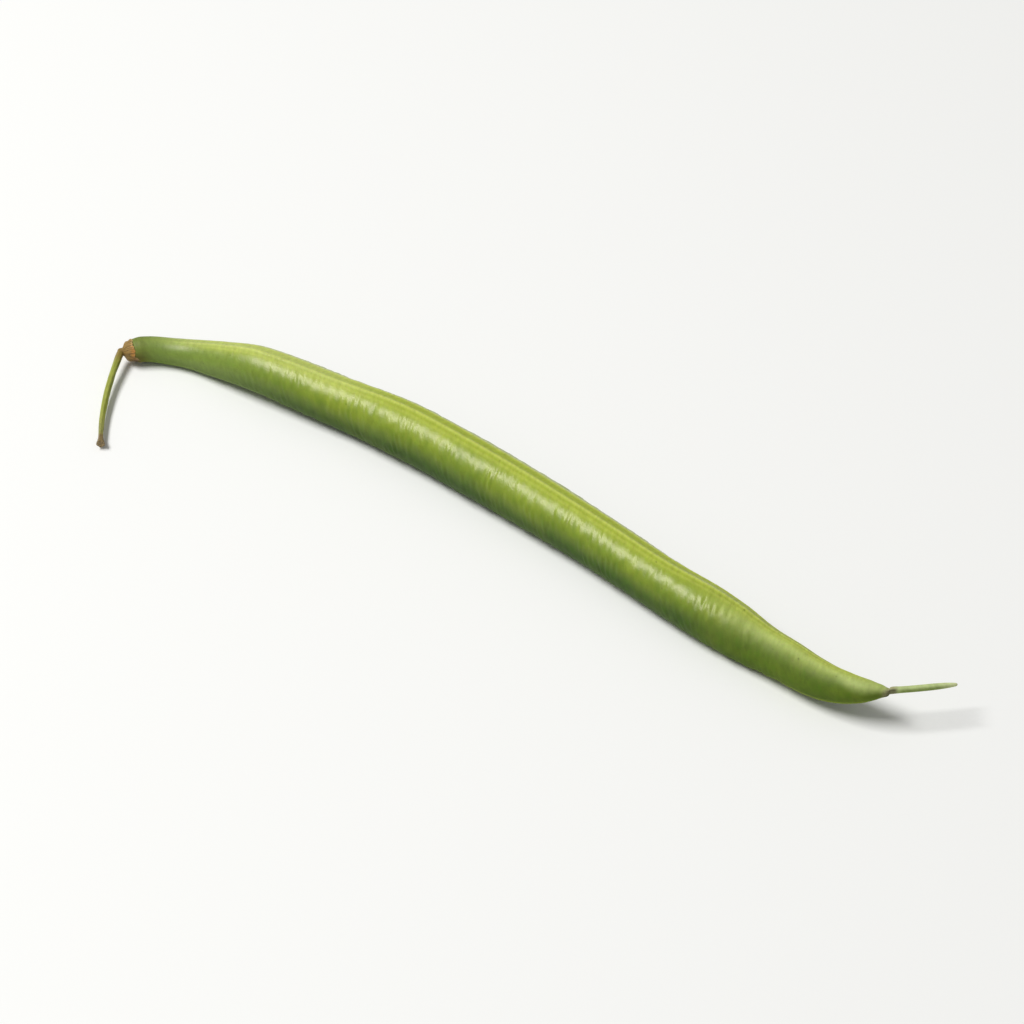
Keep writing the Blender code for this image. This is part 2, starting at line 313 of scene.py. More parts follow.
def podSection(shape, along, theta):
    # An ellipse of the mean girth, a little deeper than wide, plus a bell for each seed on both cheeks,
    # a fine ridge on either side of the seam, one ridge at the back, and creases across the pod
    share = along / shape["length"]
    mean = through(shape["girth"], share) / 2
    full = eased(share, 0.02, 0.3) * (1 - eased(share, 0.9, 1.0))
    spare = (shape["deeperThanWide"] - 1) / 2 * full
    wobble = np.sin(along / 9.1 + 0.6) + 0.7 * np.sin(along / 5.3 + 2.1)
    deep = mean * (1 + spare)
    wide = mean * (1 - spare) * (1 + shape["uneven"] * full * wobble)
    radius = 1 / np.hypot(np.cos(theta) / deep, np.sin(theta) / wide)

    rng = np.random.default_rng(shape["seedDraw"])
    at = np.linspace(shape["firstSeed"], shape["lastSeed"], shape["seeds"]) * shape["length"]
    at = at + rng.uniform(-shape["seedWander"], shape["seedWander"], shape["seeds"])
    size = rng.uniform(*shape["seedSizes"], shape["seeds"])
    swell = (size * hump(along - at, shape["seedLength"])).sum(axis=1, keepdims=True)
    cheek = np.sin(theta) ** 2 * (0.8 + 0.2 * np.cos(theta))
    radius = radius + shape["seedSwell"] * swell * full * cheek

    fromSeam = np.degrees((theta + math.pi) % (2 * math.pi) - math.pi)
    seamFade = eased(along, 3, 10) * (1 - eased(along, shape["length"] - 7, shape["length"] - 1))
    seamFade = seamFade * np.clip(mean / 4, 0, 1)
    ridges = shape["seamRidge"] * hump(np.abs(fromSeam) - shape["ridgeAngle"], shape["seamRidgeSpread"])
    ridges = ridges + shape["backRidge"] * hump(np.abs(fromSeam) - 180, shape["backRidgeSpread"])
    radius = radius + seamFade * ridges

    creased = eased(share, 0.03, 0.25) * (1 - 0.85 * eased(share, 0.84, 0.94))
    creased = creased * (1 - eased(share, 0.97, 1.0))
    offSeam = 0.1 + 0.9 * (1 - hump(fromSeam, 40))
    slanted = along - shape["slant"] * mean * np.abs(np.radians(fromSeam))
    fine = waves(slanted, theta, **shape["wrinkles"])
    patch = np.clip(0.75 + 0.45 * waves(along, theta, **shape["wrinklePatches"]), 0.15, 1.6)
    broad = waves(along, theta, **shape["puckers"])
    skin = shape["wrinkle"] * fine * patch + shape["pucker"] * broad
    settled = 0.02 * creased  # keeps the crests of the creases within the plain form
    return radius + creased * offSeam * skin - settled, mean, fromSeam


def podSurface(shape):
    # Each ring is its section, turned by the seam's angle, on the middle line at its height over the floor
    along = podRings(shape)[:, None]
    even = roundRing(shape["around"])
    theta = even - shape["seamColumns"] * np.sin(2 * even)
    radius, mean, fromSeam = podSection(shape, along, theta)
    seamTurn = np.radians(through(shape["seamTurn"], along / shape["length"]))
    turn = seamTurn + theta
    uncreased = dict(shape, wrinkle=0.0, pucker=0.0)
    lowest = -(podSection(uncreased, along, theta)[0] * np.sin(turn)).min(axis=1)
    flatAlong = along[:, 0]
    reference = np.interp(shape["tipRisesFrom"], flatAlong, lowest)
    nearTip = flatAlong > shape["tipRisesFrom"]
    rise = shape["tipRise"] * np.where(nearTip, np.clip(reference - lowest, 0, None), 0)
    height = lowest + through(shape["underside"], flatAlong) + rise
    lineAt, lineX, lineY = podPlan(shape)
    middleX = np.interp(flatAlong, lineAt, lineX)
    middleY = np.interp(flatAlong, lineAt, lineY)
    middle = np.stack([middleX, middleY, height], axis=1)
    before = np.maximum(flatAlong - shape["headingReach"], 0)
    after = np.minimum(flatAlong + shape["headingReach"], lineAt[-1])
    aheadX = np.interp(after, lineAt, lineX) - np.interp(before, lineAt, lineX)
    aheadY = np.interp(after, lineAt, lineY) - np.interp(before, lineAt, lineY)
    ahead = unitRows(np.stack([aheadX, aheadY, np.zeros(len(flatAlong))], axis=1))
    near = np.cross(ahead, up)
    seam = np.cos(seamTurn) * near + np.sin(seamTurn) * up
    middle = middle + through(shape["tipLean"], along / shape["length"]) * seam
    fromEnd = shape["length"] + shape["beakLength"] - along
    closing = np.sqrt(1 - (1 - np.clip(along / shape["neckRounding"], 0, 1)) ** 2)
    closing = closing * np.sqrt(1 - (1 - np.clip(fromEnd / shape["beakRounding"], 0, 1)) ** 2)
    outwards = np.cos(turn)[..., None] * near[:, None, :] + np.sin(turn)[..., None] * up
    points = middle[:, None, :] + (radius * closing)[..., None] * outwards
    return along, theta, mean, fromSeam, points, middle, ahead


def podFacts(shape, along, theta, mean, fromSeam):
    # What the skin's colours follow, each from 0 to 1, and a place on the skin in millimetres.
    # off is in degrees from the seam, share runs from neck to tip, and past is in millimetres past the tip.
    share = along / shape["length"]
    past = along - shape["length"]
    level = 0 * along + 0 * theta
    off = np.abs(fromSeam) + level
    seamFade = eased(along, 2, 18) * (1 - eased(share, 0.96, 1.0))
    wander = 2.2 * np.sin(along / 7.3) + 1.4 * np.sin(along / 3.1 + 1.0)
    band = 1 - eased(off + wander, 15, 54)
    backBand = eased(off, 155, 175) * eased(share, 0.84, 0.9)
    atTip = eased(share, 0.74, 0.88)
    atEnd = eased(share, 0.94, 0.985)
    slanted = along - shape["slant"] * mean * np.radians(off)
    torn = np.clip(0.65 + 0.45 * waves(0.4 * along, theta, **shape["tears"]), 0.15, 1)
    scarBand = eased(past + level, -0.7, 0.5) * (1 - eased(past, 2.7, 3.5))
    # Painted shade: the green darkens down both cheeks, away from the seam on top and the light above it, a
    # little less at the tip
    cheek = eased(off + 16 * atTip, 42, 114) * (1 - 0.3 * eased(off, 160, 178))
    return {
        "onSkin": np.stack([slanted, mean * np.cos(theta), mean * np.sin(theta)], axis=-1),
        "seamBand": np.clip(band + 0.3 * backBand, 0, 1) * seamFade,
        "seamLine": (hump(off - shape["ridgeAngle"], 3.6) + 0.4 * hump(off - 24, 3.5)) * seamFade,
        "paintedCheekShade": cheek * (1 - 0.26 * atTip),
        "lowSide": eased(off, 68, 118) + 0 * along,
        "neck": 1 - eased(along + level, 6, 36),
        # Paler along the seam on the neck: partly the seam's own pale colour, partly a painted highlight
        "neckSeamAndHighlight": eased(along, 0, 9) * (1 - eased(along, 28, 46)) * (1 - eased(off + wander, 8, 44)),
        "byCalyx": (1 - eased(along + level, 0.5, 3.8)) * (0.4 + 0.6 * eased(off, 50, 110)),
        # The tip paler toward the seam on its upper side: partly its own paler green, partly painted light
        # from above
        "tip": atTip * (1 - 0.25 * atEnd) * (1 - eased(off, 34 + 30 * atEnd, 72 + 60 * atEnd)),
        "scarBand": scarBand,
        # Dark scar at the beak's base, its own colour, made darker on the lower side as painted shade
        "beakScarAndShade": scarBand * torn * (0.3 + 0.7 * eased(off, 50, 105)),
        "beak": eased(past + level, 1.4, 2.6),
        # Painted shade: the underside of the thin beak in a darker green
        "beakUnderShade": eased(past + level, 2.6, 4.0) * eased(off, 60, 130),
        "beakEnd": eased(past + level, 8.6, 11.2),
        "shine": eased(share + level, 0.0, 0.08) * (1 - eased(share, 0.76, 0.86)),
    }


# Bean skin: a living green rind under a thin wax, with a soft broken shine over slightly see-through flesh.
beanSkin = {
    "mid": "#869932",
    # deep: painted shade, the darker green laid down both lower cheeks
    "deep": "#2e4c00",
    "seam": "#a1af38",
    "line": "#c4cd64",
    "neck": "#71873a",
    # pale neck seam, partly a painted highlight
    "neckSeamAndHighlight": "#bcc672",
    "byCalyx": "#5e5a1f",
    # tip: partly the tip's own paler green, partly painted light on its upper side
    "tip": "#bbc97a",
    "scarPale": "#9c9672",
    # scar: the beak base's own dark colour; on the lower side it also stands for painted shade
    "scar": "#2f2f19",
    "beak": "#b4c284",
    # painted shade on the beak's underside
    "beakUnderShade": "#74873c",
    "beakEnd": "#d2d6a4",
    "yellow": "#a4b034",
    "fleck": "#365c00",
    "speck": "#47500f",
    "wax": "#fff6e4",
    "roughness": (0.25, 0.52),  # where the wax shines, and on the tip and neck's end
    "lowSideRoughness": 0.38,  # added down both cheeks, where the wax is duller
    "fleckRoughness": 0.16,
    "relief": 0.045,  # height of the streaks that break up the shine
    "fleshDepth": 0.9,  # how far light goes into the flesh
    "streak": (1.9, 1.05),  # cells per millimetre along the pod and round it
}


def makeBeanSkin(look):
    material, tree, shader = newMaterial("beanSkin")
    place = addNode(tree, "ShaderNodeAttribute", {"attribute_name": "onSkin"}, {}).outputs["Vector"]
    layers = (  # mask, colour, how much of what lies under it is covered
        ("neck", "neck", 0.85),
        # paler tip top, partly painted light
        ("tip", "tip", 0.8),
        ("seamBand", "seam", 0.85),
        ("seamLine", "line", 0.8),
        # pale neck seam, partly a painted highlight
        ("neckSeamAndHighlight", "neckSeamAndHighlight", 0.55),
        ("byCalyx", "byCalyx", 0.9),
        ("beak", "beak", 1.0),
        # painted shade on the beak's underside
        ("beakUnderShade", "beakUnderShade", 0.8),
        ("beakEnd", "beakEnd", 0.8),
        ("scarBand", "scarPale", 0.75),
        # dark beak base, with painted shade on its lower side
        ("beakScarAndShade", "scar", 0.9),
    )
    mask = {
        name: addNode(tree, "ShaderNodeAttribute", {"attribute_name": name}, {}).outputs["Fac"]
        for name in ("paintedCheekShade", "lowSide", "shine", *(layer[0] for layer in layers))
    }
    along, around = look["streak"]
    acrossPod = addNode(tree, "ShaderNodeMapping", {}, {"Vector": place, "Scale": (along, around, around)})
    streaks = addNode(
        tree,
        "ShaderNodeTexNoise",
        {},
        {"Vector": acrossPod.outputs[0], "Scale": 1.0, "Detail": 4.0, "Roughness": 0.65},
    )
    blotches = addNode(
        tree,
        "ShaderNodeTexNoise",
        {},
        {"Vector": place, "Scale": 0.16, "Detail": 2.0, "Roughness": 0.5},
    )
    flecks = addNode(
        tree,
        "ShaderNodeTexNoise",
        {},
        {"Vector": acrossPod.outputs[0], "Scale": 0.5, "Detail": 4.0, "Roughness": 0.68},
    )
    grain = addNode(tree, "ShaderNodeTexNoise", {}, {"Vector": place, "Scale": 4.0, "Detail": 2.0})

    # Patches of yellower green a centimetre or so across, mostly by the seam
    patchy = addNode(
        tree,
        "ShaderNodeMapRange",
        {},
        {
            "Value": blotches.outputs["Fac"],
            "From Min": 0.45,
            "From Max": 0.75,
            "To Min": 0.0,
            "To Max": 0.35,
        },
    )
    bySeam = addNode(
        tree, "ShaderNodeMath", {"operation": "MULTIPLY_ADD"}, {0: mask["paintedCheekShade"], 1: -0.8, 2: 1.0}
    )
    patchShare = addNode(
        tree, "ShaderNodeMath", {"operation": "MULTIPLY"}, {0: patchy.outputs[0], 1: bySeam.outputs[0]}
    )
    # Darker green flecks a millimetre or two across
    fleckShare = addNode(
        tree,
        "ShaderNodeMapRange",
        {},
        {"Value": flecks.outputs["Fac"], "From Min": 0.47, "From Max": 0.66, "To Min": 0.0, "To Max": 0.38},
    )
    # Tiny dark specks, a few to the square centimetre
    cells = addNode(tree, "ShaderNodeTexVoronoi", {}, {"Vector": place, "Scale": 0.42})
    speckShare = addNode(
        tree,
        "ShaderNodeMapRange",
        {},
        {
            "Value": cells.outputs["Distance"],
            "From Min": 0.03,
            "From Max": 0.09,
            "To Min": 0.5,
            "To Max": 0.0,
        },
    )
    coats = [
        # painted shade down the cheeks, away from the seam
        (mask["paintedCheekShade"], "deep"),
        (patchShare.outputs[0], "yellow"),
        (fleckShare.outputs[0], "fleck"),
    ]
    for name, colourName, cover in layers:
        share = addNode(tree, "ShaderNodeMath", {"operation": "MULTIPLY"}, {0: mask[name], 1: cover})
        coats.append((share.outputs[0], colourName))
    coats.append((speckShare.outputs[0], "speck"))
    colour = toLinear(look["mid"])
    for share, colourName in coats:
        colour = addNode(
            tree,
            "ShaderNodeMix",
            {"data_type": "RGBA"},
            {0: share, 6: colour, 7: toLinear(look[colourName])},
        ).outputs[2]
    # Short streaks across the pod, lighter and darker
    streakTone = addNode(
        tree,
        "ShaderNodeMapRange",
        {},
        {"Value": streaks.outputs["Fac"], "From Min": 0.3, "From Max": 0.7, "To Min": 0.85, "To Max": 1.15},
    )
    toned = addNode(
        tree,
        "ShaderNodeVectorMath",
        {"operation": "SCALE"},
        {0: colour, "Scale": streakTone.outputs[0]},
    )
    tree.links.new(toned.outputs[0], shader.inputs["Base Color"])

    glossy, matte = look["roughness"]
    byShine = addNode(
        tree,
        "ShaderNodeMapRange",
        {},
        {"Value": mask["shine"], "From Min": 0.0, "From Max": 1.0, "To Min": matte, "To Max": glossy},
    )
    lowDull = addNode(
        tree,
        "ShaderNodeMath",
        {"operation": "MULTIPLY_ADD"},
        {0: mask["lowSide"], 1: look["lowSideRoughness"], 2: byShine.outputs[0]},
    )
    fleckDull = addNode(
        tree,
        "ShaderNodeMath",
        {"operation": "MULTIPLY_ADD", "use_clamp": True},
        {0: flecks.outputs["Fac"], 1: look["fleckRoughness"], 2: lowDull.outputs[0]},
    )
    tree.links.new(fleckDull.outputs[0], shader.inputs["Roughness"])
    relief = addNode(
        tree,
        "ShaderNodeMath",
        {"operation": "MULTIPLY_ADD"},
        {0: grain.outputs["Fac"], 1: 0.5, 2: streaks.outputs["Fac"]},
    )
    bump = addNode(
        tree,
        "ShaderNodeBump",
        {},
        {"Strength": 0.8, "Distance": look["relief"] * mm, "Height": relief.outputs[0]},
    )
    tree.links.new(bump.outputs[0], shader.inputs["Normal"])
    shader.inputs["Subsurface Weight"].default_value = 0.12
    shader.inputs["Subsurface Radius"].default_value = (0.5, 1.0, 0.25)
    shader.inputs["Subsurface Scale"].default_value = look["fleshDepth"] * mm
    shader.inputs["Specular IOR Level"].default_value = 0.52
    shader.inputs["Specular Tint"].default_value = toLinear(look["wax"])
    shader.inputs["IOR"].default_value = 1.45
    return material


podAlong, podTheta, podMean, podOff, podPoints, podMiddle, podAhead = podSurface(podShape)
cadPodLow, cadPodHigh = (np.array(corner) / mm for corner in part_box("pod"))
shift = np.array([cadPodLow[0] - podPoints[..., 0].min(), cadPodHigh[1] - podPoints[..., 1].max(), 0.0])
podPoints = podPoints + shift
podPoints[..., 2] = np.maximum(podPoints[..., 2], 0)  # pressed flat where it lies on the floor
addPiece(
    "podSkin",
    podPoints,
    podFacts(podShape, podAlong, podTheta, podMean, podOff),
    makeBeanSkin(beanSkin),
    "pod",
)

# Calyx: the dried cup round the neck, with the knob that the stalk grows from.
calyxShape = {
    "outside": (  # along the pod's axis, radius
        (-2.21, 0.05),
        (-2.16, 0.32),
        (-1.98, 0.52),
        (-1.70, 0.59),
        (-1.46, 0.57),
        (-1.28, 0.72),
        (-1.10, 1.02),
        (-0.86, 1.30),
        (-0.58, 1.50),
        (-0.34, 1.62),
        (-0.14, 1.69),
        (0.08, 1.74),
    ),
    "inside": ((0.08, 1.66), (-0.04, 1.54), (-0.12, 1.30), (-0.16, 0.60), (-0.17, 0.05)),
    "sunkIn": 0.02,  # how far the inner wall lies under the pod's skin
    "wall": 0.09,
    "lobes": 5,
    "lobeDepth": 0.08,
    "longLobe": 1.55,
    "longLobeAt": 218.0,  # degrees round the neck, as the three below are
    "longLobeSpread": 26.0,
    # Orange on the cup's near upper side: partly its own colour, partly painted light
    "warmAt": 150.0,
    "warmSpread": 48.0,
    "overFloor": 0.06,
    "fibre": 0.022,  # height of the fibres
    "fibres": {"count": 16, "lengths": (5, 30), "turns": (12, 40), "seed": 31},
    "crumple": 0.045,  # height of the crumples between them
    "crumples": {"count": 12, "lengths": (0.9, 2.4), "turns": (2, 7), "seed": 32},
    "outRings": 70,
    "inRings": 40,
    "around": 168,
}


def calyxSurface(shape, pod, middle, ahead):
    # A profile out to the rim and back in, turned about the neck. The rim is drawn out into lobes, one of
    # them long, and fine fibres run from the knob to the rim
    profile = np.array([*shape["outside"], *shape["inside"]])
    length = np.concatenate([[0], np.cumsum(np.hypot(*np.diff(profile, axis=0).T) + 1e-6)])
    rim = len(shape["outside"]) - 1
    outStep = np.linspace(0, length[rim], shape["outRings"])
    inStep = np.linspace(length[rim + 1], length[-1], shape["inRings"])
    outAlong = through(np.stack([length[: rim + 1], profile[: rim + 1, 0]], axis=1), outStep)
    outRadius = through(np.stack([length[: rim + 1], profile[: rim + 1, 1]], axis=1), outStep)
    inAlong = through(np.stack([length[rim + 1 :], profile[rim + 1 :, 0]], axis=1), inStep)
    inRadius = through(np.stack([length[rim + 1 :], profile[rim + 1 :, 1]], axis=1), inStep)
    along = np.concatenate([outAlong, inAlong])[:, None]
    radius = np.concatenate([outRadius, inRadius])[:, None]
    outer = np.concatenate([np.ones(shape["outRings"]), np.zeros(shape["inRings"])])[:, None]
    theta = roundRing(shape["around"])

    rimAt = shape["outside"][-1][0]
    pull = eased(along, -0.7, rimAt)
    lobe = np.cos(shape["lobes"] * theta) + 0.35 * np.cos(2 * theta + 1)
    ragged = 0.05 * np.cos(17 * theta + 1.2) + 0.035 * np.cos(29 * theta + 0.4) + 0.03 * np.cos(43 * theta)
    turned = degreesFrom(theta, shape["longLobeAt"])
    longer = shape["longLobe"] * hump(turned, shape["longLobeSpread"])
    reach = shape["lobeDepth"] * lobe + ragged + longer
    stretched = along + pull**2 * reach
    podRadius = through(pod["girth"], stretched / pod["length"]) / 2
    hugging = podRadius - shape["sunkIn"] + shape["wall"] * outer
    radius = radius + (hugging - radius) * eased(stretched, -0.12, 0.06)
    fibre = waves(along * 0.2, theta, **shape["fibres"])
    crumple = waves(along, theta, **shape["crumples"])
    body = eased(radius, 0.3, 1.0)
    radius = radius + outer * body * (shape["fibre"] * fibre + shape["crumple"] * crumple - 0.03)

    forward = ahead[0]
    side = np.cross(up, forward)
    spoke = np.cos(theta)[..., None] * side + np.sin(theta)[..., None] * up
    points = middle[0] + stretched[..., None] * forward + radius[..., None] * spoke
    points[..., 2] = np.maximum(points[..., 2], shape["overFloor"])
    place = np.stack([stretched, 2.0 * np.cos(theta) + 0 * along, 2.0 * np.sin(theta) + 0 * along], axis=-1)
    facts = {
        "onCup": place,
        "nearRim": 1 - eased(rimAt - along + (1 - pull**2) * reach, 0.06, 0.34),
        "fibre": np.clip(0.5 + 0.25 * fibre, 0, 1) + 0 * along,
        "knob": 1 - eased(along + 0 * theta, -1.7, -1.0),
        # orange on the near upper side, partly painted light
        "warmAndLit": hump(degreesFrom(theta, shape["warmAt"]), shape["warmSpread"]) * eased(along, -0.7, 0.1),
        # Darker brown down the long lower lobe: partly its own colour, partly painted shade under the cup
        "under": hump(turned, 34) * eased(along, -0.9, -0.2),
    }
    return points, facts


# Dried calyx: papery brown leaf tissue, dull, with darker fibres and a bleached rim.
driedCalyx = {
    "tan": "#937c40",
    # orange: partly the cup's own colour, partly painted light on its lit side
    "orange": "#c98838",
    "dark": "#543f28",
    # under: partly the lobe's own dark brown, partly painted shade
    "under": "#43331f",
    "rim": "#d6c186",
    "knob": "#876d34",
    "roughness": 0.72,
    "relief": 0.08,
}


def makeDriedCalyx(look):
    material, tree, shader = newMaterial("driedCalyx")
    place = addNode(tree, "ShaderNodeAttribute", {"attribute_name": "onCup"}, {}).outputs["Vector"]
    mask = {
        name: addNode(tree, "ShaderNodeAttribute", {"attribute_name": name}, {}).outputs["Fac"]
        for name in ("fibre", "nearRim", "knob", "warmAndLit", "under")
    }
    blotch = addNode(tree, "ShaderNodeTexNoise", {}, {"Vector": place, "Scale": 0.9, "Detail": 4.0})
    alongCup = addNode(tree, "ShaderNodeMapping", {}, {"Vector": place, "Scale": (0.7, 3.0, 3.0)})
    thread = addNode(
        tree,
        "ShaderNodeTexNoise",
        {},
        {"Vector": alongCup.outputs[0], "Scale": 1.5, "Detail": 4.0, "Roughness": 0.65},
    )
    # Orange where the light falls, partly painted light, with random blotches of its own
    warmAndLitShare = addNode(
        tree,
        "ShaderNodeMath",
        {"operation": "MULTIPLY_ADD", "use_clamp": True},
        {0: blotch.outputs["Fac"], 1: 0.3, 2: mask["warmAndLit"]},
    )
    threadShare = addNode(
        tree,
        "ShaderNodeMapRange",
        {},
        {"Value": thread.outputs["Fac"], "From Min": 0.48, "From Max": 0.68, "To Min": 0.0, "To Max": 0.85},
    )
    valleyShare = addNode(
        tree,
        "ShaderNodeMapRange",
        {},
        {"Value": mask["fibre"], "From Min": 0.15, "From Max": 0.6, "To Min": 0.6, "To Max": 0.0},
    )
    knobShare = addNode(tree, "ShaderNodeMath", {"operation": "MULTIPLY"}, {0: mask["knob"], 1: 0.8})
    # darker lower lobe, partly painted shade
    underAndShadeShare = addNode(tree, "ShaderNodeMath", {"operation": "MULTIPLY"}, {0: mask["under"], 1: 0.85})
    # The rim is bleached less where the cup is orange
    bleached = addNode(
        tree, "ShaderNodeMath", {"operation": "MULTIPLY_ADD"}, {0: mask["warmAndLit"], 1: -0.5, 2: 0.6}
    )
    rimShare = addNode(
        tree, "ShaderNodeMath", {"operation": "MULTIPLY"}, {0: mask["nearRim"], 1: bleached.outputs[0]}
    )
    colour = toLinear(look["tan"])
    for share, colourName in (
        (warmAndLitShare, "orange"),
        (threadShare, "dark"),
        (valleyShare, "dark"),
        (knobShare, "knob"),
        (underAndShadeShare, "under"),
        (rimShare, "rim"),
    ):
        colour = addNode(
            tree,
            "ShaderNodeMix",
            {"data_type": "RGBA"},
            {0: share.outputs[0], 6: colour, 7: toLinear(look[colourName])},
        ).outputs[2]
    tree.links.new(colour, shader.inputs["Base Color"])
    shader.inputs["Roughness"].default_value = look["roughness"]
    bump = addNode(
        tree,
        "ShaderNodeBump",
        {},
        {"Strength": 0.7, "Distance": look["relief"] * mm, "Height": thread.outputs["Fac"]},
    )
    tree.links.new(bump.outputs[0], shader.inputs["Normal"])
    return material


calyxPoints, calyxFacts = calyxSurface(calyxShape, podShape, podMiddle + shift, podAhead)
addPiece("calyxCup", calyxPoints, calyxFacts, makeDriedCalyx(driedCalyx), "calyx")

# Stalk: the thin stem from the knob to the scar where it broke off the plant.
stalkShape = {
    "length": 18.0,
    "knobAt": -1.72,  # middle of the knob, along the pod's axis
    "start": 1.02,  # from there to the stalk's own beginning
    "heading": -67.0,  # degrees, seen from above
    "turn": 17.7,  # degrees from one end to the other
    "startHeight": 2.0,
    "endHeight": 0.92,
    "overFloor": 0.12,
    "radius": 0.46,
    "girth": (  # share of the stalk, share of its radius; below 0 it runs into the knob
        (-0.060, 1.10),
        (-0.030, 1.16),
        (0.00, 1.14),
        (0.12, 1.04),
        (0.30, 1.04),
        (0.55, 0.96),
        (0.80, 0.84),
        (0.91, 0.80),
        (0.95, 0.94),
        (0.98, 1.24),
        (1.00, 1.31),
    ),
    "ribs": 0.055,  # share of the radius, like the two below
    "knot": 0.02,
    "cork": 0.045,
    "knots": {"count": 16, "lengths": (1.6, 6.0), "turns": (-2, 2), "seed": 41},
    "corks": {"count": 20, "lengths": (0.5, 1.6), "turns": (-5, 5), "seed": 42},
    "root": -0.06,  # share at which it begins, inside the knob
    "linePoints": 29,
    "rings": 420,
    "endRings": 11,
    "around": 48,
}


def stalkSurface(shape, middle, ahead):
    # A ribbed round section along a slowly turning line, swollen at the scar and closed by a sunken end
    end, forward = middle[0], ahead[0]
    knob = end + shape["knobAt"] * forward
    coarse = np.linspace(0, 1, shape["linePoints"])
    heading = np.radians(shape["heading"] + shape["turn"] * coarse)
    step = shape["length"] / (shape["linePoints"] - 1)
    x = np.cumsum(np.cos(heading)) * step
    y = np.cumsum(np.sin(heading)) * step
    x = x + knob[0] + shape["start"] * np.cos(heading[0]) - x[0]
    y = y + knob[1] + shape["start"] * np.sin(heading[0]) - y[0]
    z = shape["startHeight"] + (shape["endHeight"] - shape["startHeight"]) * np.sin(coarse * math.pi / 2)
    root = np.array([[shape["root"], *knob]])
    stations = np.concatenate([root, np.stack([coarse, x, y, z], axis=1)])
    share = np.linspace(shape["root"], 1, shape["rings"])
    line = np.stack([through(stations[:, [0, n]], share) for n in (1, 2, 3)], axis=1)
    tangent = unitRows(np.gradient(line, axis=0))
    side = unitRows(np.cross(tangent, up))
    over = np.cross(side, tangent)

    theta = roundRing(shape["around"])
    at = share[:, None]
    twist = 1.4 * at
    rib = np.cos(5 * (theta + twist)) + 0.5 * np.cos(3 * (theta + twist) + 1.0)
    knotted = waves(at * shape["length"], theta, **shape["knots"])
    scar = eased(at, 0.84, 0.95)
    corky = waves(at * shape["length"], theta, **shape["corks"])
    radius = shape["radius"] * through(shape["girth"], at)
    uneven = shape["ribs"] * rib + shape["knot"] * knotted + shape["cork"] * scar * corky
    radius = radius * (1 + uneven - 0.02)
    spoke = np.cos(theta)[..., None] * side[:, None, :] + np.sin(theta)[..., None] * over[:, None, :]
    points = line[:, None, :] + radius[..., None] * spoke

    # The broken end: rings that close in, sunk a little, with a torn edge
    lastRing = points[-1]
    centre = line[-1]
    torn = 0.10 * np.cos(7 * theta[0] + 0.5) + 0.07 * np.cos(12 * theta[0] + 2.0)
    inwards = np.linspace(1, 0.04, shape["endRings"] + 1)[1:, None, None]
    sunk = -0.12 * (1 - inwards**2) + torn[None, :, None] * inwards
    endRings = centre + (lastRing - centre)[None] * inwards + sunk * tangent[-1]
    points = np.concatenate([points, endRings])
    points[..., 2] = np.maximum(points[..., 2], shape["overFloor"])
    onEnd = np.ones(shape["endRings"])
    allShare = np.concatenate([share, onEnd])[:, None] + 0 * theta
    across = 0 * allShare
    alongMm = allShare * shape["length"]
    endRib = np.repeat(rib[-1:], shape["endRings"], axis=0)
    facts = {
        "onStalk": np.stack([alongMm, 0.5 * np.cos(theta) + across, 0.5 * np.sin(theta) + across], axis=-1),
        "byKnob": 1 - eased(allShare, -0.02, 0.11),
        "byScar": eased(allShare, 0.55, 0.86),
        "broken": eased(allShare, 0.865, 0.92),
        "cut": np.concatenate([0 * share, onEnd])[:, None] + across,
        "rib": np.clip(0.5 + 0.35 * np.concatenate([rib, endRib]), 0, 1),
    }
    return points, facts


# Bean stalk: fresh stringy stem, yellow olive with paler ribs, going brown and corky at the scar.
beanStalk = {
    "body": "#868d29",
    "rib": "#a7ad55",
    "byKnob": "#80692e",
    "byScar": "#8b8a48",
    "broken": "#7a673f",
    "cut": "#b39d74",
    "roughness": 0.5,
    "relief": 0.05,
}


